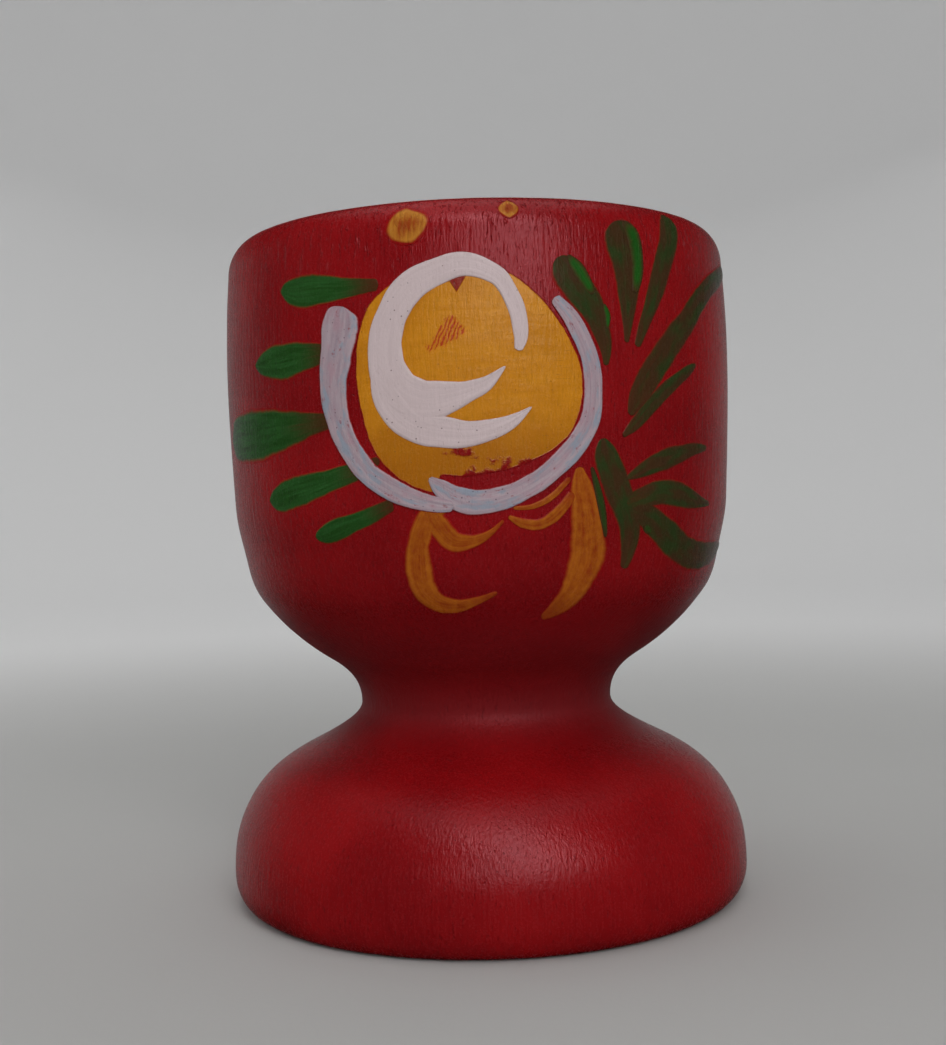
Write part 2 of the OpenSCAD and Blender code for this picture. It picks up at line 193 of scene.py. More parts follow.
LOWER_RIGHT_LEAVES = [
    [[25.1, 43.6, 0.3], [25.8, 42.4, 1.15], [27.3, 40.8, 1.4], [29.2, 39, 1.45], [31.4, 37.3, 1.4],
     [32.6, 35.5, 1.25], [32.6, 34, 0.9], [31.8, 32.4, 0.4]],
    [[57.5, 42.9, 0.2], [53, 42.8, 0.5], [49, 42.5, 0.7], [43.5, 42, 0.95], [38.5, 41.4, 0.85],
     [34, 40.7, 0.55], [31, 40.2, 0.15]],
    [[60, 37.8, 0.15], [55, 38, 0.55], [50, 38.4, 1], [45, 38.8, 1.2], [40, 38.9, 1.15],
     [35.5, 38.5, 1], [31, 38, 0.8]],
    [[33, 37.5, 0.8], [37, 36.8, 1.2], [41, 35.8, 1.4], [46, 34.6, 1.5], [51, 33.7, 1.45],
     [57, 33.2, 1.4], [64, 33.1, 1.25], [71, 33.3, 0.95], [77, 33.6, 0.5], [81, 33.8, 0.15]],
]

ACCENTS = [
    [[18.4, 59, 0.15], [20, 58.2, 0.55], [21.9, 57, 0.6], [23.7, 55.8, 0.3]],
    [[26, 55, 0.1], [26.7, 54, 0.3], [26.6, 52.9, 0.1]],
    [[31.9, 62.2, 0.3], [34, 61.2, 0.75], [34.8, 59.6, 0.75], [34.6, 57.8, 0.65], [33.7, 56.1, 0.3]],
    [[36, 36, 0.2], [37.2, 35.8, 0.4], [38.4, 35.4, 0.2]],
    [[22.6, 41.2, 0.12], [24, 39.2, 0.35], [25.2, 37.2, 0.35], [26.3, 35.2, 0.12]],
]

SCROLLS = [
    [[-8, 38.6, 0.8], [-11.5, 37.2, 0.95], [-13.6, 35.2, 1.05], [-14.2, 33.2, 1.3], [-13.5, 31.4, 1.3],
     [-11, 30.1, 0.95], [-6.5, 29.7, 0.6], [-2, 30.1, 0.35], [2.5, 30.8, 0.12]],
    [[-11, 38.4, 0.6], [-9.6, 36.8, 0.95], [-6.5, 35.3, 0.95], [-2.5, 35.2, 0.55], [1, 35.8, 0.25],
     [4, 36.9, 0.08]],
    [[19.8, 41.2, 0.3], [20.3, 39.5, 1.05], [21.3, 37.5, 1.5], [22.1, 35.5, 1.8], [22.2, 33.5, 1.9],
     [20.8, 31.7, 1.65], [18.5, 30, 1.2], [15.6, 29, 0.7], [13.3, 28.4, 0.25]],
    [[5, 37.2, 0.12], [8, 36.6, 0.4], [11.5, 36.5, 0.45], [15, 37.3, 0.5], [18.5, 39, 0.4]],
    [[6, 37.9, 0.1], [10, 38, 0.2], [14, 38.8, 0.25], [17.8, 40.3, 0.2]],
]

DOTS = [
    [[-14.3, 63.5, 0.6], [-14.3, 62.9, 1.5], [-13.9, 61.9, 1.9], [-13.2, 60.9, 1.5], [-12.6, 60.2, 0.5]],
    [[6.8, 63.8, 0.3], [6.8, 63.3, 0.8], [6.8, 62.7, 0.8], [6.8, 62.1, 0.35]],
]

# ---- The turned surface ----


def outline_radius(z):
    """Radius of the painted outline at each height of an array.

    A cubic joins each bend to the next, and an ellipse rounds the foot's edge and the rim.
    """
    z = np.asarray(z, float)
    i = np.clip(np.searchsorted(OUTLINE[:, 0], z) - 1, 0, len(OUTLINE) - 2)
    a, b = OUTLINE[i], OUTLINE[i + 1]
    span = b[..., 0] - a[..., 0]
    t = np.clip((z - a[..., 0]) / span, 0, 1)
    bend = (
        a[..., 1] * (2 * t**3 - 3 * t**2 + 1)
        + a[..., 2] * span * (t**3 - 2 * t**2 + t)
        + b[..., 1] * (3 * t**2 - 2 * t**3)
        + b[..., 2] * span * (t**3 - t**2)
    )
    foot = foot_d / 2 - foot_edge_in * (1 - np.sqrt(1 - np.clip(1 - z / foot_ring_h, 0, 1) ** 2))
    rim = crest_r + (rim_r - crest_r) * np.sqrt(1 - np.clip((z - rim_h) / rim_rise, 0, 1) ** 2)
    return np.where(z < foot_ring_h, foot, np.where(z > rim_h, rim, bend))


def outward(path):
    """Unit vectors to the right of a path's run, which is outwards for a profile that runs upwards."""
    along = np.gradient(path, axis=0)
    along /= np.linalg.norm(along, axis=1)[:, None]
    return np.stack([along[:, 1], -along[:, 0]], axis=1)


def round_points(centre, radii, start, end, count):
    """Points on an ellipse's arc, without its first point."""
    angles = np.radians(np.linspace(start, end, count + 1)[1:])
    along = centre[0] + radii[0] * np.cos(angles)
    up = centre[1] + radii[1] * np.sin(angles)
    return np.stack([along, up], axis=1)


def place(theta, radius, height):
    """Points in metres from degrees round the wall, radius and height."""
    turn = np.radians(theta)
    return np.stack([radius * np.sin(turn), -radius * np.cos(turn), height + 0 * turn], axis=-1) * MM


def unevenness(points):
    """How far the brushed ground stands out of the outline, in millimetres, at points in metres."""
    flat = points.reshape(-1, 3)
    slow = [noise.noise(Vector(p) * 130) for p in flat]
    quick = [noise.noise(Vector((p[0] * 700, p[1] * 700, p[2] * 300))) for p in flat]
    return (slow_wave * np.array(slow) + bristle_wave * np.array(quick)).reshape(points.shape[:-1])


# ---- Meshes ----


def add_piece(name, points, faces, material, nodes, attributes=None):
    """A smooth-shaded mesh piece that stands for some CAD nodes, with vectors stored at its points."""
    mesh = bpy.data.meshes.new(name)
    mesh.from_pydata(points.tolist(), [], faces)
    for key, values in (attributes or {}).items():
        layer = mesh.attributes.new(key, "FLOAT_VECTOR", "POINT")
        layer.data.foreach_set("vector", np.asarray(values, float).ravel())
    mesh.shade_smooth()
    mesh.set_sharp_from_angle(angle=math.radians(40))
    mesh.materials.append(material)
    piece = bpy.data.objects.new(name, mesh)
    bpy.context.scene.collection.objects.link(piece)
    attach(piece, "root")
    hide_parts(*nodes)
    return piece


def grid_faces(rows, columns, start=0, wrap_rows=False, wrap_columns=False, flip=False):
    """Quads of a grid of points stored row after row."""
    faces = []
    for i in range(rows if wrap_rows else rows - 1):
        for k in range(columns if wrap_columns else columns - 1):
            here = start + i * columns
            beyond = start + (i + 1) % rows * columns
            next_k = (k + 1) % columns
            quad = (here + k, here + next_k, beyond + next_k, beyond + k)
            faces.append(quad[::-1] if flip else quad)
    return faces


def turned_faces(rings, sides, closed):
    """Quads of a turned surface, with fans at its two poles unless its profile is a closed loop."""
    faces = grid_faces(rings, sides, wrap_rows=closed, wrap_columns=True)
    if not closed:
        low, high, last = rings * sides, rings * sides + 1, (rings - 1) * sides
        for k in range(sides):
            faces.append((low, (k + 1) % sides, k))
            faces.append((high, last + k, last + (k + 1) % sides))
    return faces


def turned_points(profile, sides):
    """Rings of points in metres, for a profile of [radius, height] rows."""
    theta = np.arange(sides) * 360 / sides
    return place(theta[None, :], profile[:, 0][:, None], profile[:, 1][:, None])


def skin_profile():
    """The painted outline from the foot's lower edge to the lip's inner edge."""
    base_r = foot_d / 2 - foot_edge_in
    foot = round_points((base_r, foot_ring_h), (foot_edge_in, foot_ring_h), -90, 0, foot_steps)
    heights = np.linspace(foot_ring_h, rim_h, wall_steps)[1:]
    wall = np.stack([outline_radius(heights), heights], axis=1)
    rim = round_points((crest_r, rim_h), (rim_r - crest_r, rim_rise), 0, 90, rim_steps)
    lip = round_points((crest_r, lip_h), (lip_round, lip_round), 90, 180, lip_steps)
    return np.concatenate([[[base_r, 0]], foot, wall, rim, lip])


def wood_profile():
    """The bare wood: underside, the wall under the coat, and the hollow with faint tool marks."""
    flat = np.linspace(0.25, foot_flat_r, underside_steps)
    recess = recess_depth * np.clip((foot_flat_r - 2 - flat) / 3, 0, 1) ** 0.5
    marks = tool_mark * (1 - np.cos(flat * 2 * math.pi / foot_mark_step))
    underside = np.stack([flat, recess + marks], axis=1)
    skin = skin_profile()
    under = (skin - coat_t * outward(skin))[2:-1]
    seat_h = np.linspace(lip_h, seat_bottom_h, seat_steps)
    seat = np.stack([mouth_d / 2 + 0 * seat_h, seat_h], axis=1)
    angles = np.radians(np.linspace(0, 89.3, hollow_steps))[1:]
    bowl_r = mouth_d / 2 * np.cos(angles)
    bowl_h = seat_bottom_h - hollow_round_h * np.sin(angles)
    hollow = np.concatenate([seat, np.stack([bowl_r, bowl_h], axis=1)])
    length = np.concatenate([[0], np.cumsum(np.linalg.norm(np.diff(hollow, axis=0), axis=1))])
    hollow += tool_mark * np.sin(length * 2 * math.pi / hollow_mark_step)[:, None] * outward(hollow)
    edge = [[mouth_d / 2 + coat_t, lip_h]]
    return np.concatenate([underside, under, edge, hollow])


def build_wood(material):
    """The turned cup in bare wood, closed at its two poles."""
    profile = wood_profile()
    rings = turned_points(profile, wood_sides).reshape(-1, 3)
    poles = [[0, 0, profile[0][1] * MM], [0, 0, profile[-1][1] * MM]]
    points = np.concatenate([rings, poles])
    faces = turned_faces(len(profile), wood_sides, False)
    return add_piece("turned_wood", points, faces, material, ["turned_body"])


def build_coat(material):
    """The red ground coat, a thin closed skin that ends in an uneven brushed edge inside the mouth."""
    skin = skin_profile()
    normal = outward(skin)
    outer = turned_points(skin, coat_sides)
    out = turned_points(normal, coat_sides) / MM
    outer = outer + out * (unevenness(outer) * MM)[..., None]
    outer[..., 2] = np.maximum(outer[..., 2], 0)
    inner = turned_points(skin - coat_t * normal, coat_sides)
    inner[..., 2] = np.maximum(inner[..., 2], 0.02 * MM)
    theta = np.arange(coat_sides) * 360 / coat_sides
    ragged = [noise.noise(Vector((math.sin(t), math.cos(t), 0)) * 4) for t in np.radians(theta)]
    depth = coat_reach + coat_ragged * np.array(ragged)
    # Shares of that depth: down the coat's face in the mouth, thinning out, and back up inside the wood
    wrap = []
    for share, thick in ((0.35, 0.05), (0.7, 0.045), (0.95, 0.03), (1, 0.004)):
        wrap.append(place(theta, mouth_d / 2 - thick, lip_h - share * depth))
    for share in (0.7, 0.2):
        wrap.append(place(theta, mouth_d / 2 + 0.04, lip_h - share * depth))
    rings = np.concatenate([outer, np.stack(wrap), inner[::-1]])
    faces = turned_faces(len(rings), coat_sides, True)
    points = rings.reshape(-1, 3)
    return add_piece("red_ground_coat", points, faces, material, ["ground_coat"])


# ---- Paint films ----


def on_wall(arc, height, above, turn):
    """Points in metres from unrolled places on the wall, standing above the ground coat."""
    z = flower_size * height + flower_lift
    step = 0.02
    slope = (outline_radius(z + step) - outline_radius(z - step)) / (2 * step)
    size = np.sqrt(1 + slope**2)
    theta = flower_size * arc / mm_per_degree + turn
    base = place(theta, outline_radius(z), z)
    rise = (above + unevenness(base)) / size
    return place(theta, outline_radius(z) + rise, z - slope * rise)


def smooth(rows, steps, loop=False):
    """A Catmull-Rom curve through rows."""
    rows = np.array(rows, float)
    count = len(rows)
    spans = np.arange(count if loop else count - 1)
    t = (np.arange(steps) / steps)[None, :, None]
    if loop:
        a, b, c, d = (rows[(spans + k) % count][:, None] for k in (-1, 0, 1, 2))
    else:
        a, b, c, d = (rows[np.clip(spans + k, 0, count - 1)][:, None] for k in (-1, 0, 1, 2))
    curve = (
        2 * b + (c - a) * t + (2 * a - 5 * b + 4 * c - d) * t**2 + (3 * b - a - 3 * c + d) * t**3
    ) / 2
    curve = curve.reshape(-1, rows.shape[1])
    return curve if loop else np.concatenate([curve, rows[-1:]])


def film_of_grid(arc, height, above, columns, turn):
    """Points and faces of a closed film: a grid on top, and the same grid sunk into the coat."""
    rows = len(arc) // columns
    top = on_wall(arc, height, above, turn)
    bottom = on_wall(arc, height, 0 * above - film_sink, turn)
    count = len(arc)
    faces = grid_faces(rows, columns, flip=True) + grid_faces(rows, columns, start=count)
    # Once round the grid's edge, to close the film's sides
    border = list(range(columns))
    border += [i * columns + columns - 1 for i in range(1, rows)]
    border += [(rows - 1) * columns + k for k in range(columns - 2, -1, -1)]
    border += [i * columns for i in range(rows - 2, 0, -1)]
    for i, a in enumerate(border):
        b = border[(i + 1) % len(border)]
        faces.append((a, b, b + count, a + count))
    return np.concatenate([top, bottom]), faces


def brush_stroke(rows, thickness, turn, seed):
    """One stroke as a crowned closed film, with its brush coordinates and its place on the wall.

    Thin paint spreads a little past the table's width, since its cover fades towards its edge,
    and it falls off more gently there than thick white.
    """
    thin = thickness < petal_t - 0.05
    spread = 0.06 if thin else 0
    path = smooth(rows, stroke_steps)
    middle = np.stack([path[:, 0] * mm_per_degree, path[:, 1]], axis=1)
    step = np.linalg.norm(np.diff(middle, axis=0), axis=1)
    length = np.concatenate([[0], np.cumsum(step)])
    half = np.maximum(path[:, 2], 0.05) + spread
    for end, distance in ((0, length), (-1, length[-1] - length)):
        reach = 0.5 * half[end]
        half = half * np.sqrt(np.maximum(1 - (1 - np.minimum(distance / reach, 1)) ** 2, 0.02))
    side = -outward(middle)
    columns = stroke_columns
    across = np.sin(np.linspace(-90, 90, columns) * math.pi / 180)
    # Each edge wanders on its own; ridges run along the stroke, as the bristles left them
    wave = np.array([
        [noise.noise(Vector((s * 0.55, 9 * np.sign(v), seed))) for v in across] for s in length
    ])
    ridge = np.array([
        [noise.noise(Vector((s * 0.12, v * 5, seed + 5))) for v in across] for s in length
    ])
    reach = half[:, None] * across[None, :] * (1 + 0.09 * wave)
    spot = middle[:, None, :] + side[:, None, :] * reach[..., None]
    fall = 1 - np.abs(across) ** 3 if thin else np.sqrt(1 - np.abs(across) ** 9)
    body = fall[None, :] * (0.84 + 0.1 * across[None, :] ** 2 + 0.16 * ridge)
    above = film_edge + (thickness - film_edge) * np.clip(body, 0, 1)
    arc, height = spot[..., 0].ravel(), spot[..., 1].ravel()
    points, faces = film_of_grid(arc, height, above.ravel(), columns, turn)
    run = np.repeat(length, columns)
    share = np.repeat(length / length[-1], columns)
    brush = np.stack([run, np.tile(across, len(length)), np.full(len(run), seed)], axis=1)
    wall = np.stack([arc, height, share], axis=1)
    return points, faces, np.tile(brush, (2, 1)), np.tile(wall, (2, 1))


def strokes_piece(name, strokes, thickness, turn, material, seed):
    """All strokes of one layer as one piece. Each stroke has a seed of its own."""
    points, faces, brushes, walls = [], [], [], []
    start = 0
    for i, rows in enumerate(strokes):
        stroke_seed = seed + stroke_seed_step * i
        film, film_faces, brush_rows, wall_rows = brush_stroke(rows, thickness, turn, stroke_seed)
        points.append(film)
        faces += [tuple(start + k for k in face) for face in film_faces]
        brushes.append(brush_rows)
        walls.append(wall_rows)
        start += len(film)
    attributes = {"brush": np.concatenate(brushes), "wall": np.concatenate(walls)}
    return add_piece(name + "_paint", np.concatenate(points), faces, material, [name], attributes)


def rose_piece(name, turn, material):
    """The ochre disc as rings from its middle out to its brushed outline."""
    outline = smooth(ROSE, disc_steps, loop=True)
    middle = np.array(ROSE_MIDDLE)
    shares = np.sin(np.radians(np.linspace(4, 90, disc_rings)))
    spot = middle + (outline - middle)[None, :, :] * shares[:, None, None]
    arc, height = spot[..., 0] * mm_per_degree, spot[..., 1]
    body = 0.92 * np.sqrt(1 - shares**24)[:, None] + 0 * arc
    for i in range(arc.shape[0]):
        for k in range(arc.shape[1]):
            body[i, k] += 0.15 * noise.noise(Vector((arc[i, k] * 0.5, height[i, k] * 1.4, turn)))
    above = film_edge + (disc_t - film_edge) * np.clip(body, 0, 1.1)
    rings, sides = arc.shape
    flat_arc, flat_height = arc.ravel(), height.ravel()
    top = on_wall(flat_arc, flat_height, above.ravel(), turn)
    bottom = on_wall(flat_arc, flat_height, 0 * above.ravel() - film_sink, turn)
    count = len(top)
    faces = grid_faces(rings, sides, wrap_columns=True)
    faces += grid_faces(rings, sides, start=count, wrap_columns=True, flip=True)
    outer = (rings - 1) * sides
    for k in range(sides):
        n = (k + 1) % sides
        faces.append((outer + k, outer + n, count + outer + n, count + outer + k))
    faces.append(tuple(range(sides))[::-1])
    faces.append(tuple(range(count, count + sides)))
    wall = np.stack([flat_arc, flat_height, np.repeat(shares, sides)], axis=1)
    points = np.concatenate([top, bottom])
    attributes = {"wall": np.tile(wall, (2, 1))}
    return add_piece(name + "_paint", points, faces, material, [name], attributes)


# ---- Shader helpers ----


class Graph:
    """Adds shader nodes to a tree. A value is a number, a colour or another node's output.

    Each material below calls its own graph g.
    """

    def __init__(self, tree):
        self.tree = tree

    def put(self, socket, value):
        """Links an output to a socket, or sets the socket to a fixed value."""
        if isinstance(value, bpy.types.NodeSocket):
            self.tree.links.new(value, socket)
        else:
            socket.default_value = value

    def node(self, kind, inputs=(), **settings):
        """A new node, with its settings made before its inputs are filled."""
        node = self.tree.nodes.new(kind)
        for key, value in settings.items():
            setattr(node, key, value)
        for key, value in dict(inputs).items():
            self.put(node.inputs[key], value)
        return node

    def math(self, operation, a, b=0.0, c=0.0):
        return self.node("ShaderNodeMath", {0: a, 1: b, 2: c}, operation=operation).outputs[0]

    def add(self, a, b):
        return self.math("ADD", a, b)

    def times(self, a, b):
        return self.math("MULTIPLY", a, b)

    def ramp(self, value, low, high, start=0.0, end=1.0):
        """Smoothly from start to end as value goes from low to high."""
        inputs = {0: value, 1: low, 2: high, 3: start, 4: end}
        return self.node("ShaderNodeMapRange", inputs, interpolation_type="SMOOTHSTEP").outputs[0]

    def mix(self, share, a, b):
        """The colour that lies the given share of the way from a to b."""
        node = self.node("ShaderNodeMix", data_type="RGBA")
        self.put(node.inputs[0], share)
        self.put(node.inputs[6], a if isinstance(a, bpy.types.NodeSocket) else (*a, 1))
        self.put(node.inputs[7], b if isinstance(b, bpy.types.NodeSocket) else (*b, 1))
        return node.outputs[2]

    def scaled(self, vector, x, y, z):
        factors = {0: vector, 1: (x, y, z)}
        return self.node("ShaderNodeVectorMath", factors, operation="MULTIPLY").outputs[0]

    def noise(self, vector, scale=1.0, detail=2.0, roughness=0.5):
        inputs = {"Vector": vector, "Scale": scale, "Detail": detail, "Roughness": roughness}
        return self.node("ShaderNodeTexNoise", inputs).outputs[0]

    def millimetres(self):
        """The piece's own coordinates, in millimetres."""
        return self.scaled(self.node("ShaderNodeTexCoord").outputs["Object"], 1000, 1000, 1000)

    def stored(self, name):
        """A vector that the mesh stores at its points."""
        return self.node("ShaderNodeAttribute", attribute_name=name).outputs["Vector"]

    def parts(self, vector):
        """A vector's three numbers."""
        node = self.node("ShaderNodeSeparateXYZ", {0: vector})
        return node.outputs[0], node.outputs[1], node.outputs[2]

    def vector(self, x, y, z):
        return self.node("ShaderNodeCombineXYZ", {0: x, 1: y, 2: z}).outputs[0]


def new_material(name):
    """An empty material and its graph."""
    material = bpy.data.materials.new(name)
    material.use_nodes = True
    material.node_tree.nodes.clear()
    return material, Graph(material.node_tree)


def finish_material(graph, colour, roughness, height, shine=0.2, tint=(1, 1, 1)):
    """Joins colour, roughness and relief in millimetres to a Principled shader."""
    bump = graph.node("ShaderNodeBump", {"Strength": 1.0, "Distance": MM, "Height": height})
    shader = graph.node("ShaderNodeBsdfPrincipled")
    shader.inputs["Specular IOR Level"].default_value = shine
    shader.inputs["Specular Tint"].default_value = (*tint, 1)
    graph.put(shader.inputs["Base Color"], colour)
    graph.put(shader.inputs["Roughness"], roughness)
    graph.put(shader.inputs["Normal"], bump.outputs[0])
    output = graph.node("ShaderNodeOutputMaterial")
    graph.put(output.inputs[0], shader.outputs[0])


# ---- Materials ----

# Ground coat
RED = (0.34, 0.0045, 0.0065)
DEEP_RED = (0.24, 0.003, 0.005)
# Painted shade for the waist and the bowl's underside
SHADED_RED = (0.17, 0.002, 0.004)
PORE_RED = (0.12, 0.002, 0.004)
# Bare wood
EARLY_WOOD = (0.66, 0.48, 0.3)
LATE_WOOD = (0.58, 0.4, 0.23)
PALE_FIBRE = (0.72, 0.54, 0.36)
WOOD_PORE = (0.27, 0.15, 0.07)
# Whites
SWIRL_THIN = (0.67, 0.54, 0.545)
SWIRL_FULL = (0.72, 0.585, 0.59)
SWIRL_PINHOLE = (0.13, 0.05, 0.06)
PETAL_LILAC = (0.4, 0.3, 0.345)
PETAL_FULL = (0.51, 0.405, 0.445)
PETAL_BLUE = (0.31, 0.36, 0.44)
PETAL_PINK = (0.5, 0.27, 0.32)
PETAL_PINHOLE = (0.1, 0.06, 0.09)
# Ochre
OCHRE = (0.66, 0.24, 0.008)
OCHRE_LIGHT = (0.73, 0.28, 0.012)
OCHRE_DULL = (0.52, 0.175, 0.005)
# Thinner ochre and painted shade at the disc's foot
OCHRE_THIN_SHADED = (0.44, 0.135, 0.004)
OCHRE_GRAIN = (0.5, 0.19, 0.004)
OCHRE_MARK = (0.33, 0.11, 0.01)
OCHRE_PINHOLE = (0.25, 0.06, 0.01)
SCRATCH_RED = (0.48, 0.016, 0.006)
# Greens
LEAF_DEEP = (0.016, 0.066, 0.01)
LEAF_FULL = (0.028, 0.115, 0.025)
LEAF_TAIL = (0.05, 0.033, 0.011)
THIN_BROWN = (0.062, 0.03, 0.012)
THIN_GREEN = (0.03, 0.05, 0.013)
THIN_STREAK = (0.065, 0.03, 0.013)
ACCENT_DEEP = (0.014, 0.085, 0.01)
ACCENT_FULL = (0.02, 0.13, 0.014)
ACCENT_LOW = (0.03, 0.06, 0.012)
LEAF_BROWN = (0.062, 0.032, 0.013)
# Golds
SCROLL_THIN = (0.33, 0.06, 0.006)
SCROLL_FULL = (0.48, 0.135, 0.011)
DOT_THIN = (0.33, 0.06, 0.008)
DOT_FULL = (0.58, 0.235, 0.03)
# What the varnish's mirror light takes on
ENAMEL_SHEEN = (1, 0.42, 0.47)
GREEN_SHEEN = (0.6, 0.6, 0.5)
OCHRE_SHEEN = (1, 0.85, 0.6)
# Backdrop paper, darker near the cup as painted shade and brighter far off as painted light, and the room
# that the varnish mirrors
PAPER_SHADED_NEAR = (0.55, 0.55, 0.54)
PAPER_SHADED_NEAR_PALE = (0.57, 0.57, 0.56)
PAPER_LIT_FAR = (0.94, 0.94, 0.94)
ROOM_DARK = (0.008, 0.008, 0.008)
ROOM_PALE = (0.26, 0.26, 0.26)


def ground_group():
    """The red ground coat as a node group, so that thin paint can show it through."""
    tree = bpy.data.node_groups.new("ground_red", "ShaderNodeTree")
    for name, kind in (("Colour", "Color"), ("Height", "Float"), ("Roughness", "Float")):
        tree.interface.new_socket(name, in_out="OUTPUT", socket_type="NodeSocket" + kind)
    g = Graph(tree)
    here = g.millimetres()
    # Brushed colour, with the wood's fibres and pores working through
    slow = g.noise(here, 0.09, 2)
    fibre = g.noise(g.scaled(here, 4.5, 4.5, 0.3), 1, 3, 0.6)
    pores = g.ramp(g.noise(g.scaled(here, 6, 6, 1.4), 1, 1), 0.66, 0.73)
    grit = g.noise(here, 5, 2)
    colour = g.mix(g.ramp(slow, 0.3, 0.7), DEEP_RED, RED)
    colour = g.mix(g.ramp(fibre, 0.35, 0.75, 0, 0.35), colour, RED)
    colour = g.mix(g.times(pores, 0.4), colour, PORE_RED)
    # Painted shade: the red is darkened around the waist and under the bowl. The enamel also dulls where
    # the cup narrows, and runs a little below the rim
    z = g.parts(here)[2]
    waist_shade = g.times(g.ramp(z, 12, 20), g.ramp(z, 27, 38, 1, 0))
    colour = g.mix(g.times(waist_shade, 0.5), colour, SHADED_RED)
    ridges = g.noise(g.scaled(here, 2.6, 2.6, 0.55), 1, 2)
    runs = g.ramp(g.noise(g.scaled(here, 3.2, 3.2, 0.28), 1, 2), 0.6, 0.68)
    near_rim = g.ramp(z, 56.5, 60.5)
    height = g.add(g.add(g.times(fibre, 0.05), g.times(ridges, 0.05)), g.times(grit, 0.022))
    height = g.add(height, g.times(g.times(runs, near_rim), 0.08))
    height = g.math("SUBTRACT", height, g.times(pores, 0.03))
    roughness = g.ramp(g.add(g.times(grit, 0.5), g.times(fibre, 0.5)), 0.3, 0.7, 0.19, 0.32)
    dull = g.times(g.ramp(z, 15, 18.5), g.ramp(z, 24, 30, 1, 0))
    roughness = g.add(roughness, g.times(dull, 0.3))
    output = g.node("NodeGroupOutput")
    g.put(output.inputs["Colour"], colour)
    g.put(output.inputs["Height"], height)
    g.put(output.inputs["Roughness"], roughness)
    return tree


def ground(graph, group):
    """Colour, height and roughness of the ground coat at this place."""
    node = graph.node("ShaderNodeGroup")
    node.node_tree = group
    return node.outputs["Colour"], node.outputs["Height"], node.outputs["Roughness"]


def red_enamel(group):
    """The ground coat itself, where nothing is painted over it."""
    material, g = new_material("red_enamel")
    colour, height, roughness = ground(g, group)
    finish_material(g, colour, roughness, height, 0.75, ENAMEL_SHEEN)
    return material


def bare_wood():
    """Pale hardwood turned along its grain: rings across it, fibres and pores along it."""
    material, g = new_material("bare_wood")
    here = g.millimetres()
    bend = g.noise(g.scaled(here, 0.05, 0.05, 0.012), 1, 2)
    x, y, _ = g.parts(here)
    off_x = g.add(x, 31)
    off_y = g.add(y, 17)
    from_pith = g.math("SQRT", g.add(g.times(off_x, off_x), g.times(off_y, off_y)))
    rings = g.math("FRACT", g.add(g.times(from_pith, 0.7), g.times(bend, 5)))
    late = g.ramp(rings, 0.45, 0.97)
    fibre = g.noise(g.scaled(here, 5, 5, 0.25), 1, 3, 0.65)
    pores = g.ramp(g.noise(g.scaled(here, 7, 7, 0.5), 1, 1), 0.64, 0.74)
    colour = g.mix(late, EARLY_WOOD, LATE_WOOD)
    colour = g.mix(g.ramp(fibre, 0.3, 0.75, 0, 0.5), colour, PALE_FIBRE)
    colour = g.mix(g.times(pores, 0.55), colour, WOOD_PORE)
    height = g.math("SUBTRACT", g.times(fibre, 0.03), g.times(pores, 0.04))
    roughness = g.ramp(fibre, 0.3, 0.7, 0.62, 0.5)
    finish_material(g, colour, roughness, height)
    return material


def brush_place(graph):
    """A stroke's own coordinates: run in millimetres, across from -1 to 1, and its seed."""
    return graph.parts(graph.stored("brush"))


def wall_place(graph):
    """Place on the unrolled wall, arc and height in millimetres, and the share of the way along."""
    return graph.parts(graph.stored("wall"))


def edge_cover(graph, run, across, seed, inner=0.84, outer=0.97, wander=0.16):
    """1 inside a stroke, falling to 0 along a slightly uneven edge."""
    side = graph.math("SIGN", across)
    wave = graph.noise(graph.vector(graph.times(run, 1.3), graph.times(side, 7), seed), 1, 3, 0.6)
    reach = graph.add(graph.math("ABSOLUTE", across), graph.times(graph.add(wave, -0.5), wander))
    return graph.ramp(reach, inner, outer, 1, 0)


def bristles(graph, run, across, seed, fine=6.0):
    """Streaks that run along the stroke."""
    return graph.noise(graph.vector(graph.times(run, 0.22), graph.times(across, fine), seed), 1, 3, 0.6)


def specks(graph, density, size):
    """Small round pits scattered over the paint: 1 in a pit."""
    here = graph.millimetres()
    cells = graph.node("ShaderNodeTexVoronoi", {"Vector": here, "Scale": density})
    picked = graph.math("GREATER_THAN", graph.parts(cells.outputs["Color"])[0], 0.5)
    patchy = graph.ramp(graph.noise(here, 0.35, 1), 0.42, 0.55)
    spot = graph.ramp(cells.outputs["Distance"], size * 0.5, size, 1, 0)
    return graph.times(graph.times(picked, patchy), spot)


def painted(graph, group, paint, cover, relief, tint=(1, 1, 1), shine=0.2):
    """Paint over the red ground, thinning out where cover is low."""
    under, height, under_rough = ground(graph, group)
    colour = graph.mix(cover, under, paint)
    relief = graph.add(graph.times(height, 0.6), graph.times(relief, cover))
    finish_material(graph, colour, under_rough, relief, shine, tint)


def swirl_white(group):
    """Flat thick white with a few dark pinholes."""
    material, g = new_material("swirl_white")
    run, across, seed = brush_place(g)
    streak = bristles(g, run, across, seed)
    paint = g.mix(g.ramp(streak, 0.3, 0.7), SWIRL_THIN, SWIRL_FULL)
    paint = g.mix(g.times(specks(g, 2.0, 0.17), 0.8), paint, SWIRL_PINHOLE)
    cover = edge_cover(g, run, across, seed, 0.95, 0.99, 0.03)
    painted(g, group, paint, cover, g.times(streak, 0.02))
    return material


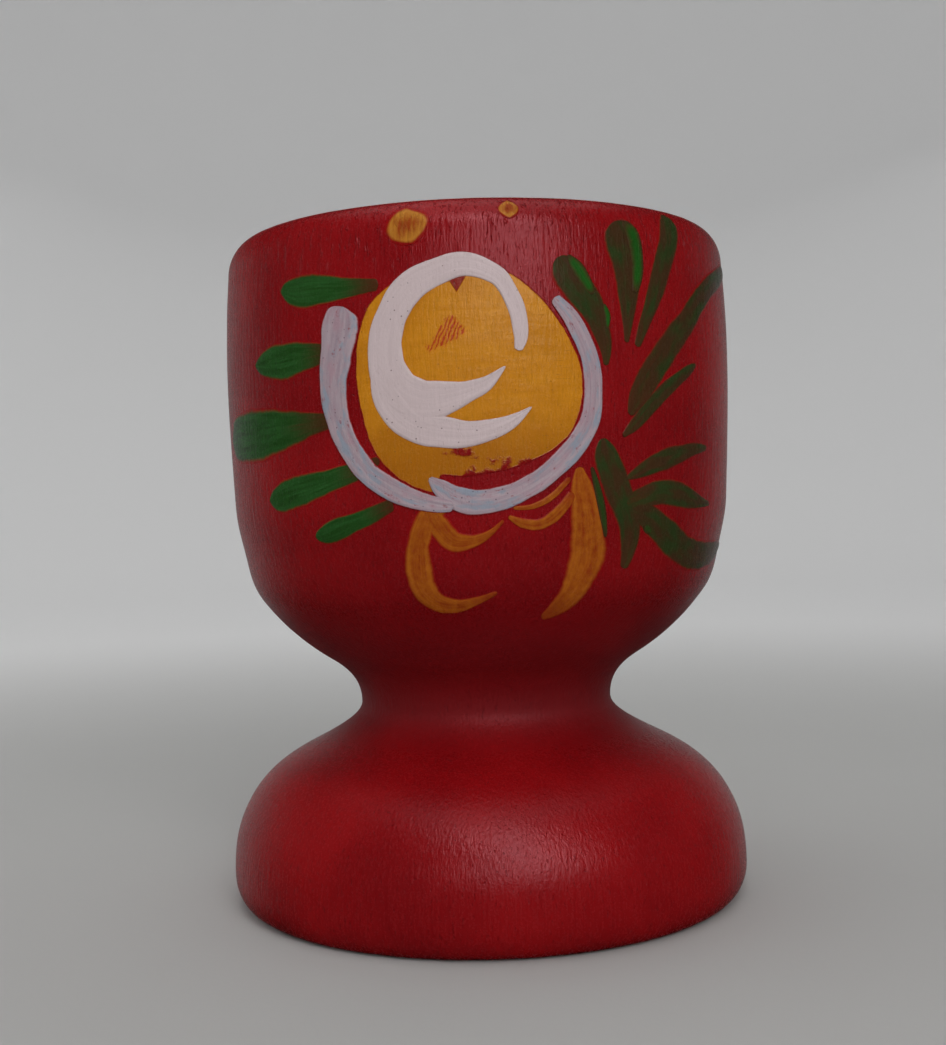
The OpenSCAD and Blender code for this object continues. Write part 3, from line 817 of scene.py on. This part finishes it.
def petal_white(group):
    """Thinner white, with lilac, blue and pink where the ground works through it."""
    material, g = new_material("petal_white")
    run, across, seed = brush_place(g)
    streak = bristles(g, run, across, seed, 4)
    blotch = g.noise(g.vector(g.times(run, 0.4), g.times(across, 1.4), seed), 1, 3, 0.6)
    paint = g.mix(g.ramp(streak, 0.3, 0.7), PETAL_LILAC, PETAL_FULL)
    paint = g.mix(g.ramp(blotch, 0.5, 0.64, 0, 0.85), paint, PETAL_BLUE)
    paint = g.mix(g.ramp(blotch, 0.47, 0.34, 0, 0.4), paint, PETAL_PINK)
    paint = g.mix(g.times(specks(g, 2.1, 0.18), 0.7), paint, PETAL_PINHOLE)
    chips = g.noise(g.vector(g.times(run, 1.3), g.times(across, 2.6), g.add(seed, 4)), 1, 4, 0.65)
    whole = g.times(g.ramp(streak, 0.12, 0.3, 0.7, 1), g.ramp(chips, 0.6, 0.7, 1, 0.45))
    cover = g.times(edge_cover(g, run, across, seed, 0.88, 0.98, 0.14), whole)
    painted(g, group, paint, cover, g.times(streak, 0.025))
    return material


def rose_ochre(group):
    """The ochre disc, with a notch at its top, a scratched hatch, and a thin ragged foot."""
    material, g = new_material("rose_ochre")
    arc, height, share = wall_place(g)
    spot = g.vector(arc, height, 0.0)
    sweep = g.noise(g.scaled(spot, 0.3, 1.2, 1), 1, 3, 0.6)
    slow = g.noise(spot, 0.22, 2)
    paint = g.mix(g.ramp(sweep, 0.3, 0.75), OCHRE, OCHRE_LIGHT)
    paint = g.mix(g.ramp(slow, 0.48, 0.7, 0, 0.5), paint, OCHRE_DULL)
    marks = g.noise(g.scaled(spot, 0.5, 5.5, 1), 1, 2)
    # Darker towards the disc's foot: thinner ochre there, and painted shade from the light above
    paint = g.mix(g.ramp(height, 47.5, 41, 0, 0.85), paint, OCHRE_THIN_SHADED)
    at_right = g.ramp(arc, -1, 6)
    paint = g.mix(g.times(g.ramp(marks, 0.66, 0.74, 0, 0.4), at_right), paint, OCHRE_MARK)
    grain = g.noise(g.scaled(spot, 3.5, 0.5, 1), 1, 3, 0.6)
    paint = g.mix(g.ramp(grain, 0.5, 0.72, 0, 0.45), paint, OCHRE_GRAIN)
    paint = g.mix(g.times(specks(g, 1.6, 0.13), 0.6), paint, OCHRE_PINHOLE)
    paint = g.mix(scratched_hatch(g, arc, height), paint, SCRATCH_RED)
    relief = g.add(g.times(sweep, 0.04), g.times(grain, 0.05))
    painted(g, group, paint, rose_cover(g, arc, height, share), relief, OCHRE_SHEEN, 0.5)
    return material


def rose_cover(graph, arc, height, share):
    """Where the disc is painted: inside its edge, above its ragged foot and outside its notch."""
    spot = graph.vector(arc, height, 0.0)
    ragged = graph.add(graph.noise(graph.scaled(spot, 0.8, 0.9, 1), 1, 3, 0.65), -0.5)
    edge = graph.ramp(graph.add(share, graph.times(ragged, 0.03)), 0.98, 0.992, 1, 0)
    bites = graph.times(graph.add(graph.noise(spot, 0.45, 1), -0.5), 6)
    whole_left = graph.ramp(arc, -4.4, -3.2, 5, 0)
    lift = graph.add(graph.add(graph.times(ragged, 8), bites), whole_left)
    foot = graph.ramp(graph.add(height, lift), 40.7, 42)
    from_tip = graph.math("ABSOLUTE", graph.add(arc, -ROSE_NOTCH[0]))
    above_tip = graph.times(graph.add(height, -ROSE_NOTCH[1]), 0.62)
    notch = graph.ramp(graph.math("SUBTRACT", above_tip, from_tip), 0, 0.12)
    return graph.times(graph.times(edge, foot), graph.math("SUBTRACT", 1, notch))


def scratched_hatch(graph, arc, height):
    """A row of steep short scratches that climbs to the right, 1 on a scratch."""
    x = graph.add(arc, -ROSE_HATCH[0])
    z = graph.add(height, -ROSE_HATCH[1])
    wobble = graph.noise(graph.vector(arc, height, 3.0), 1.6, 3)
    phase = graph.add(graph.add(x, graph.times(z, -0.42)), graph.times(wobble, 0.6))
    line = graph.math("ABSOLUTE", graph.math("SINE", graph.times(phase, 9)))
    lines = graph.ramp(line, 0.35, 0.85, 1, 0.2)
    off = graph.math("SUBTRACT", graph.times(z, 0.77), graph.times(x, 0.64))
    along = graph.add(graph.times(x, 0.77), graph.times(z, 0.64))
    width = graph.ramp(along, -1.5, 1.2, 0.35, 0.95)
    wander = graph.times(graph.add(wobble, -0.5), 1.2)
    past = graph.add(graph.math("SUBTRACT", graph.math("ABSOLUTE", off), width), wander)
    inside = graph.ramp(past, -0.15, 0.1, 1, 0)
    reach = graph.ramp(graph.math("ABSOLUTE", along), 1.6, 1.9, 1, 0)
    return graph.times(graph.times(lines, graph.times(inside, reach)), 0.9)


def leaf_green(group):
    """Full green at the brush's first touch, dragged out to thin brown over the red."""
    material, g = new_material("leaf_green")
    run, across, seed = brush_place(g)
    share = wall_place(g)[2]
    streak = bristles(g, run, across, seed)
    load = g.add(share, g.times(g.add(streak, -0.5), 0.5))
    paint = g.mix(g.ramp(streak, 0.3, 0.7), LEAF_DEEP, LEAF_FULL)
    paint = g.mix(g.ramp(load, 0.6, 0.98), paint, LEAF_TAIL)
    cover = g.times(edge_cover(g, run, across, seed, 0.78, 0.98, 0.14), g.ramp(load, 0.7, 1.2, 1, 0.75))
    painted(g, group, paint, cover, g.times(streak, 0.02), GREEN_SHEEN)
    return material


def leaf_brown(group):
    """The same green put on thinly, which reads as dark brown green over the red."""
    material, g = new_material("leaf_dark")
    run, across, seed = brush_place(g)
    share = wall_place(g)[2]
    streak = bristles(g, run, across, seed)
    blotch = g.noise(g.vector(g.times(run, 0.3), g.times(across, 1.2), seed), 1, 3, 0.6)
    paint = g.mix(g.ramp(blotch, 0.4, 0.66), THIN_BROWN, THIN_GREEN)
    paint = g.mix(g.ramp(streak, 0.55, 0.75, 0, 0.5), paint, THIN_STREAK)
    thin = g.ramp(g.add(share, streak), 1.2, 1.7, 1, 0.85)
    cover = g.times(edge_cover(g, run, across, seed, 0.78, 0.98, 0.14), thin)
    painted(g, group, paint, cover, g.times(streak, 0.02), GREEN_SHEEN)
    return material


def accent_green(group):
    """A second, brighter touch of green that blends into the dark leaf under it."""
    material, g = new_material("accent_green")
    run, across, seed = brush_place(g)
    _, height, share = wall_place(g)
    streak = bristles(g, run, across, seed)
    fresh = g.mix(g.ramp(streak, 0.3, 0.7), ACCENT_DEEP, ACCENT_FULL)
    fresh = g.mix(g.ramp(height, 44, 50), ACCENT_LOW, fresh)
    ends = g.ramp(g.math("ABSOLUTE", g.add(share, -0.5)), 0.3, 0.5, 1, 0)
    load = g.times(edge_cover(g, run, across, seed, 0.15, 0.95, 0.5), ends)
    paint = g.mix(load, LEAF_BROWN, fresh)
    cover = edge_cover(g, run, across, seed, 0.9, 0.98, 0.1)
    painted(g, group, paint, cover, g.times(streak, 0.02), GREEN_SHEEN)
    return material


def scroll_gold(group):
    """Translucent gold: thick at the edges and in streaks, thin and red in between."""
    material, g = new_material("scroll_gold")
    run, across, seed = brush_place(g)
    arc, height, share = wall_place(g)
    streak = bristles(g, run, across, seed, 5)
    pool = g.ramp(g.math("ABSOLUTE", across), 0.3, 0.85)
    mottle = g.noise(g.vector(arc, height, seed), 1.6, 3, 0.6)
    load = g.add(g.times(pool, 0.14), g.add(g.times(streak, 0.5), g.times(mottle, 0.5)))
    paint = g.mix(g.ramp(load, 0.35, 0.75), SCROLL_THIN, SCROLL_FULL)
    thin = g.times(g.ramp(load, 0.3, 0.5, 0.6, 1), g.ramp(share, 0.72, 1, 1, 0.5))
    cover = g.times(edge_cover(g, run, across, seed, 0.66, 0.98, 0.26), thin)
    painted(g, group, paint, cover, g.times(streak, 0.02), ENAMEL_SHEEN)
    return material


def dot_gold(group):
    """Gold dabs, pooled at their rims and rubbed thin in the middle."""
    material, g = new_material("dot_gold")
    run, across, seed = brush_place(g)
    arc, height, share = wall_place(g)
    streak = bristles(g, run, across, seed, 3)
    blot = g.noise(g.vector(arc, height, seed), 0.8, 3)
    lengthwise = g.times(g.add(share, -0.5), 2)
    spread = g.math("SQRT", g.add(g.times(across, across), g.times(lengthwise, lengthwise)))
    grain = g.noise(g.vector(g.times(arc, 3), g.times(height, 0.5), seed), 1, 3, 0.6)
    worn = g.add(g.times(g.add(blot, -0.5), 1.3), g.times(g.add(grain, -0.5), 1.2))
    load = g.ramp(g.add(spread, worn), 0.1, 0.95)
    paint = g.mix(g.add(g.times(load, 0.8), g.times(streak, 0.2)), DOT_THIN, DOT_FULL)
    thin = g.ramp(g.add(load, grain), 0.3, 0.75, 0.6, 1)
    round_edge = g.ramp(g.add(spread, g.times(g.add(blot, -0.5), 0.25)), 0.78, 0.99, 1, 0)
    painted(g, group, paint, g.times(round_edge, thin), g.times(streak, 0.03), OCHRE_SHEEN)
    return material


# ---- The object ----


def build_flower(side, turn, paints, seed):
    """One flower: its ochre disc, then each layer of strokes, all turned to their side of the cup."""
    layers = (
        ("rose_swirl", SWIRL, swirl_t, "white_paint"),
        ("left_petal", LEFT_PETAL, petal_t, "white_paint"),
        ("right_petal", RIGHT_PETAL, petal_t - 0.03, "white_paint"),
        ("left_leaves", LEFT_LEAVES, leaf_t, "green_paint"),
        ("upper_right_leaves", UPPER_RIGHT_LEAVES, leaf_t, "dark_green_paint"),
        ("lower_right_leaves", LOWER_RIGHT_LEAVES, leaf_t, "dark_green_paint"),
        ("leaf_accents", ACCENTS, accent_t, "bright_green_paint"),
        ("gold_scrolls", SCROLLS, leaf_t + 0.02, "gold_paint"),
        ("rim_dots", DOTS, leaf_t, "gold_paint"),
    )
    rose_piece(side + "_rose_disc", turn, paints["rose_disc"])
    for i, (layer, strokes, thickness, slot) in enumerate(layers):
        layer_seed = seed + layer_seed_step * i
        strokes_piece(f"{side}_{layer}", strokes, thickness, turn, paints[layer], layer_seed)


def build_cup():
    """The wood, its red coat and the two flowers, with every material made once."""
    group = ground_group()
    petals = petal_white(group)
    dark = leaf_brown(group)
    paints = {
        "rose_disc": rose_ochre(group),
        "rose_swirl": swirl_white(group),
        "left_petal": petals,
        "right_petal": petals,
        "left_leaves": leaf_green(group),
        "upper_right_leaves": dark,
        "lower_right_leaves": dark,
        "leaf_accents": accent_green(group),
        "gold_scrolls": scroll_gold(group),
        "rim_dots": dot_gold(group),
    }
    build_wood(bare_wood())
    build_coat(red_enamel(group))
    build_flower("front", front_turn, paints, 2.0)
    build_flower("back", back_turn, paints, 140.0)


# ---- The stage ----


def build_stage():
    """A pale floor that curves up into a wall all round."""
    floor_r, bend_r, wall_h, sides = 0.55, 0.35, 1.1, 128
    profile = [[r, 0] for r in (0.02, 0.06, 0.12, 0.2, 0.3, 0.42, floor_r)]
    for a in range(6, 91, 6):
        turn = math.radians(a)
        profile.append([floor_r + bend_r * math.sin(turn), bend_r * (1 - math.cos(turn))])
    profile.append([floor_r + bend_r, wall_h])
    points = turned_points(np.array(profile) / MM, sides).reshape(-1, 3)
    faces = grid_faces(len(profile), sides, wrap_columns=True, flip=True)
    faces.append(tuple(range(sides)))
    mesh = bpy.data.meshes.new("backdrop")
    mesh.from_pydata(points.tolist(), [], faces)
    mesh.shade_smooth()
    material, g = new_material("backdrop_paper")
    here = g.millimetres()
    tone = g.noise(here, 0.03, 2)
    x, y, _ = g.parts(here)
    far = g.math("SQRT", g.add(g.times(x, x), g.times(y, y)))
    near = g.mix(tone, PAPER_SHADED_NEAR, PAPER_SHADED_NEAR_PALE)
    # Painted shade and light: the paper is darker near the cup and brighter far off
    colour = g.mix(g.ramp(far, 80, 330), near, PAPER_LIT_FAR)
    finish_material(g, colour, 0.9, g.times(g.noise(here, 1.5, 2), 0.01), 0.1)
    mesh.materials.append(material)
    backdrop = bpy.data.objects.new("backdrop", mesh)
    bpy.context.scene.collection.objects.link(backdrop)
    # The varnish mirrors the room, not this backdrop
    backdrop.visible_glossy = False


def add_light(name, azimuth, elevation, distance, size, power, lean=0, spread=180):
    """An area light that faces the cup, leaning to its right by some degrees, and is not seen itself.

    Azimuth 0 is in front and grows to the right. Returns the light.
    """
    target = Vector((0, 0, 0.032))
    turn, rise = math.radians(azimuth), math.radians(elevation)
    flat = math.cos(rise)
    back = Vector((math.sin(turn) * flat, -math.cos(turn) * flat, math.sin(rise)))
    data = bpy.data.lights.new(name, "AREA")
    data.shape = "RECTANGLE"
    data.size, data.size_y = size
    data.energy = power
    data.spread = math.radians(spread)
    light = bpy.data.objects.new(name, data)
    light.location = target + back * distance
    light.rotation_mode = "QUATERNION"
    tilt = Quaternion((0, 0, 1), math.radians(-lean))
    light.rotation_quaternion = (-back).to_track_quat("-Z", "Y") @ tilt
    light.visible_camera = False
    bpy.context.scene.collection.objects.link(light)
    return light


def build_room():
    """The room that the glaze mirrors: dark in front and overhead, pale behind the cup."""
    world = bpy.data.worlds.new("room")
    world.use_nodes = True
    g = Graph(world.node_tree)
    right, back, up = g.parts(g.node("ShaderNodeTexCoord").outputs["Generated"])
    band = g.times(g.ramp(up, -0.5, -0.1), g.ramp(up, 0.1, 0.45, 1, 0))
    behind = g.ramp(g.math("SUBTRACT", back, g.times(right, 0.14)), 0.35, 0.85)
    colour = g.mix(g.times(band, behind), ROOM_DARK, ROOM_PALE)
    g.put(world.node_tree.nodes["Background"].inputs[0], colour)
    bpy.context.scene.world = world


def build_lights():
    """Two windows in front that the varnish mirrors, a ceiling, and two fills that it does not mirror."""
    # Each with its azimuth, elevation, distance, size and power
    add_light("window", 12, 41, 0.5, (0.46, 0.1), 0.146, lean=48, spread=80)
    add_light("window_foot", 12, 18, 0.5, (0.38, 0.13), 0.065, spread=80)
    add_light("ceiling", 0, 89, 1.25, (1.3, 1.3), 3.2)
    fill = add_light("side_fill", -95, 35, 0.8, (0.6, 0.6), 0.6)
    fill.visible_glossy = False
    back_fill = add_light("back_fill", 180, 40, 0.8, (1.2, 0.6), 0.7)
    back_fill.visible_glossy = False
    bpy.context.scene.view_settings.view_transform = "Standard"


def build_camera():
    """A close camera at mid height, as in the photograph, with a slight lean."""
    distance, height = 0.1405, 0.0374
    turn_left, tip_down, lean = 0.34, 0.5, 1.6
    data = bpy.data.cameras.new("camera")
    data.lens = 48.8
    data.sensor_width = 36
    data.clip_start = 0.01
    camera = bpy.data.objects.new("camera", data)
    aim = Matrix.Rotation(math.radians(turn_left), 4, "Z")
    aim @= Matrix.Rotation(math.radians(90 - tip_down), 4, "X")
    aim @= Matrix.Rotation(math.radians(-lean), 4, "Z")
    camera.matrix_world = Matrix.Translation((0, -distance, height)) @ aim
    bpy.context.scene.collection.objects.link(camera)
    bpy.context.scene.camera = camera


build_camera()
build_cup()
build_stage()
build_room()
build_lights()
